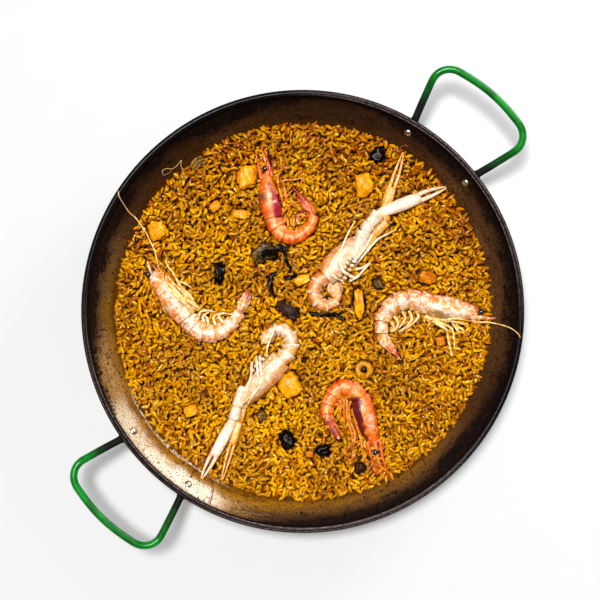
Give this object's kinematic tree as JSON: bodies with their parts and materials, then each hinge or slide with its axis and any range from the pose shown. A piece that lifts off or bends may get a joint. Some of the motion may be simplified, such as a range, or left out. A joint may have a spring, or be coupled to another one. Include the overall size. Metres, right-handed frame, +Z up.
{
  "type": "pan of seafood rice",
  "caption": "Round steel pan with two green wire handles, full of golden seafood rice under prawns, langoustines and cuttlefish.",
  "frame": {"origin": "middle of the pan's flat underside", "axes": "+Z up, +X along the line through both handles"},
  "size_m": [0.5502, 0.4194, 0.0534],
  "materials": {
    "pan_steel": "darkened, seasoned carbon steel, worn brighter and rust-flecked low on the wall",
    "green_enamel": "glossy green enamel, darkening to soot towards the pan",
    "rivet_steel": "bright rivet heads",
    "rice": "saffron rice grains, glossy with oil, toasted brown in places",
    "red_shell": "wet red prawn shell with pinkish highlights",
    "pale_shell": "pale prawn shell, cream and pink with orange edges",
    "white_shell": "peach-white langoustine shell with orange edges",
    "golden": "oily golden cuttlefish and mussel meat",
    "orange": "orange-brown squid and cuttlefish",
    "clear": "half-clear cooked onion",
    "brown": "dark brown mussel and skin",
    "dark": "glossy black-brown skin and shell"
  },
  "bodies": {
    "root": {"pan": "pan_steel", "handle_right": "green_enamel", "handle_left": "green_enamel", "rivet_right_back": "rivet_steel", "rivet_right_front": "rivet_steel", "rivet_left_back": "rivet_steel", "rivet_left_front": "rivet_steel", "rice": "rice", "red_prawn_1": "red_shell", "red_prawn_2": "red_shell", "pale_prawn_1": "pale_shell", "pale_prawn_2": "pale_shell", "langoustine_1": "white_shell", "langoustine_2": "white_shell", "cuttlefish_1": "golden", "cuttlefish_2": "golden", "cuttlefish_3": "golden", "cuttlefish_4": "golden", "cuttlefish_5": "golden", "cuttlefish_6": "golden", "cuttlefish_7": "golden", "mussel_yellow": "golden", "mussel_meat": "golden", "cuttlefish_8": "orange", "cuttlefish_9": "orange", "cuttlefish_10": "orange", "squid_ring": "orange", "onion_slice": "clear", "mussel_frilled": "brown", "dark_piece_8": "brown", "dark_piece_1": "dark", "dark_piece_2": "dark", "dark_piece_3": "dark", "dark_piece_4": "dark", "dark_piece_5": "dark", "dark_piece_6": "dark", "dark_piece_7": "dark", "dark_strip_1": "dark", "dark_strip_2": "dark", "dark_strip_3": "dark", "dark_strip_4": "dark", "mussel_shell": "dark"}
  },
  "joints": []
}
